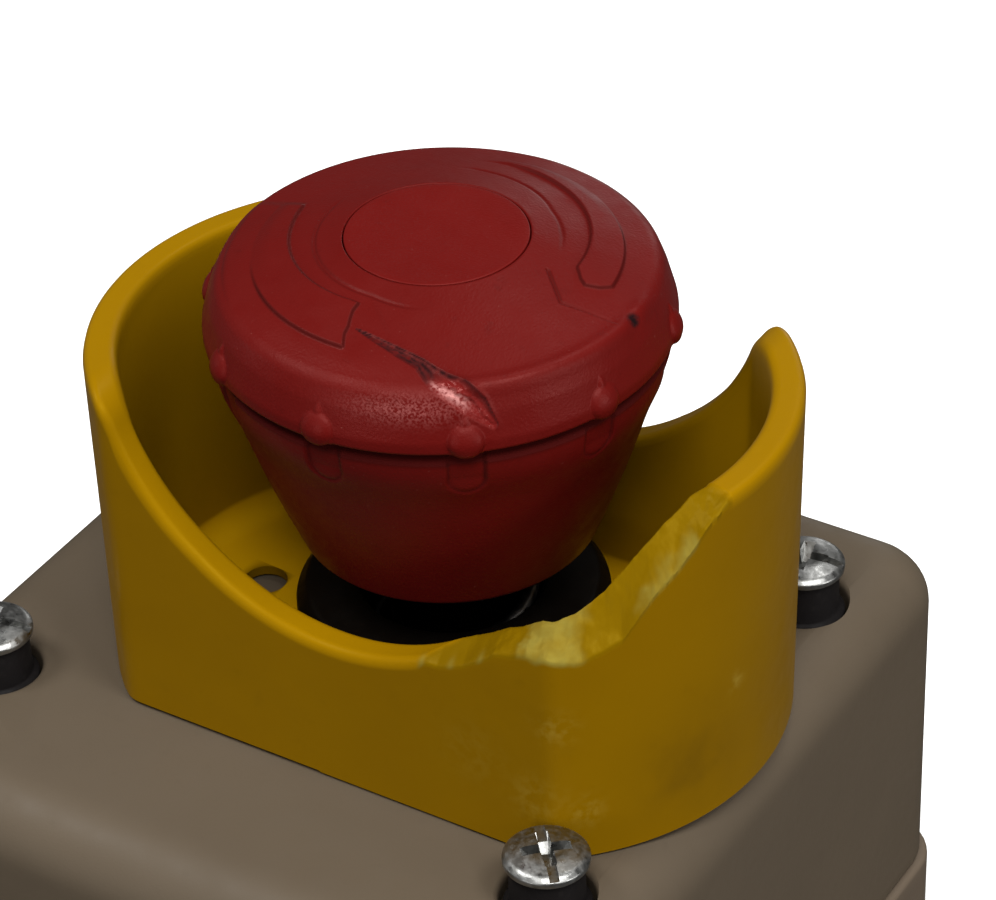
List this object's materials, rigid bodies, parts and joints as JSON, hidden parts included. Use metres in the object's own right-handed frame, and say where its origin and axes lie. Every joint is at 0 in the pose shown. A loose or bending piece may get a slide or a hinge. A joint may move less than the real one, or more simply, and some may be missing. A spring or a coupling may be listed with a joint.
{
  "type": "emergency stop control station",
  "caption": "Surface box carrying a red mushroom push button with turn release inside an open-sided yellow guard, switching normally closed contacts.",
  "frame": {"origin": "centre of the enclosure's flat mounting face", "axes": "+Z out of the panel along the button's axis, +X across the guard's two ears, +Y across its scallops"},
  "size_m": [0.0758, 0.0758, 0.1001],
  "materials": {
    "enclosure_base": "moulded grey plastic, fine grain",
    "lid_gasket": "black rubber",
    "enclosure_lid": "moulded grey plastic, fine grain",
    "lid_screw_1": "zinc plated",
    "lid_screw_2": "zinc plated",
    "lid_screw_3": "zinc plated",
    "lid_screw_4": "zinc plated",
    "screw_sleeve_1": "black rubber",
    "screw_sleeve_2": "black rubber",
    "screw_sleeve_3": "black rubber",
    "screw_sleeve_4": "black rubber",
    "guard": "moulded yellow plastic, satin",
    "operator_body": "black plastic",
    "bezel_ring": "black plastic",
    "panel_gasket": "black rubber",
    "latch_ring": "natural nylon",
    "return_spring": "spring steel wire",
    "lock_nut": "black plastic",
    "mounting_adapter": "black plastic",
    "contact_housing_1": "natural nylon",
    "contact_cover_1": "natural nylon",
    "contact_spring_1": "spring steel wire",
    "fixed_contact_1a": "plain brass",
    "fixed_contact_1b": "plain brass",
    "terminal_screw_1a": "zinc plated",
    "terminal_screw_1b": "zinc plated",
    "contact_housing_2": "natural nylon",
    "contact_cover_2": "natural nylon",
    "contact_spring_2": "spring steel wire",
    "fixed_contact_2a": "plain brass",
    "fixed_contact_2b": "plain brass",
    "terminal_screw_2a": "zinc plated",
    "terminal_screw_2b": "zinc plated",
    "push_plate": "natural nylon",
    "mushroom_cap": "moulded red plastic, satin",
    "mushroom_skirt": "moulded red plastic, satin",
    "centre_disc": "moulded red plastic, satin",
    "cap_screw": "zinc plated",
    "cam_sleeve": "natural nylon",
    "stem": "natural nylon",
    "contact_plunger_1": "moulded red plastic, satin",
    "contact_bridge_1": "silver plated",
    "contact_plunger_2": "moulded red plastic, satin",
    "contact_bridge_2": "silver plated"
  },
  "bodies": {
    "station": {"enclosure_base": "enclosure_base", "lid_gasket": "lid_gasket", "enclosure_lid": "enclosure_lid", "lid_screw_1": "lid_screw_1", "lid_screw_2": "lid_screw_2", "lid_screw_3": "lid_screw_3", "lid_screw_4": "lid_screw_4", "screw_sleeve_1": "screw_sleeve_1", "screw_sleeve_2": "screw_sleeve_2", "screw_sleeve_3": "screw_sleeve_3", "screw_sleeve_4": "screw_sleeve_4", "guard": "guard", "operator_body": "operator_body", "bezel_ring": "bezel_ring", "panel_gasket": "panel_gasket", "latch_ring": "latch_ring", "return_spring": "return_spring", "lock_nut": "lock_nut", "mounting_adapter": "mounting_adapter", "contact_housing_1": "contact_housing_1", "contact_cover_1": "contact_cover_1", "contact_spring_1": "contact_spring_1", "fixed_contact_1a": "fixed_contact_1a", "fixed_contact_1b": "fixed_contact_1b", "terminal_screw_1a": "terminal_screw_1a", "terminal_screw_1b": "terminal_screw_1b", "contact_housing_2": "contact_housing_2", "contact_cover_2": "contact_cover_2", "contact_spring_2": "contact_spring_2", "fixed_contact_2a": "fixed_contact_2a", "fixed_contact_2b": "fixed_contact_2b", "terminal_screw_2a": "terminal_screw_2a", "terminal_screw_2b": "terminal_screw_2b"},
    "plunger": {"push_plate": "push_plate"},
    "head": {"mushroom_cap": "mushroom_cap", "mushroom_skirt": "mushroom_skirt", "centre_disc": "centre_disc", "cap_screw": "cap_screw", "cam_sleeve": "cam_sleeve", "stem": "stem"},
    "contact_1": {"contact_plunger_1": "contact_plunger_1", "contact_bridge_1": "contact_bridge_1"},
    "contact_2": {"contact_plunger_2": "contact_plunger_2", "contact_bridge_2": "contact_bridge_2"}
  },
  "joints": [
    {"name": "button_push", "type": "slide", "parent": "station", "child": "plunger", "axis": [0, 0, -1], "range_m": [0, 0.0055], "stiffness_N_per_m": 2000, "springref_m": -0.002, "deforming": ["return_spring"]},
    {"name": "button_turn", "type": "hinge", "parent": "plunger", "child": "head", "pos_m": [0.0067, 0, 0.1], "axis": [0, 0, 1], "range_deg": [-45, 45], "stiffness_Nm_per_rad": 0.12},
    {"name": "contact_1_travel", "type": "slide", "parent": "station", "child": "contact_1", "axis": [0, 0, -1], "range_m": [0, 0.0055], "deforming": ["contact_spring_1"]},
    {"name": "contact_2_travel", "type": "slide", "parent": "station", "child": "contact_2", "axis": [0, 0, -1], "range_m": [0, 0.0055], "deforming": ["contact_spring_2"]}
  ],
  "couplings": [
    {"joint": "contact_1_travel", "follows": "button_push", "ratio": 1},
    {"joint": "contact_2_travel", "follows": "button_push", "ratio": 1}
  ]
}
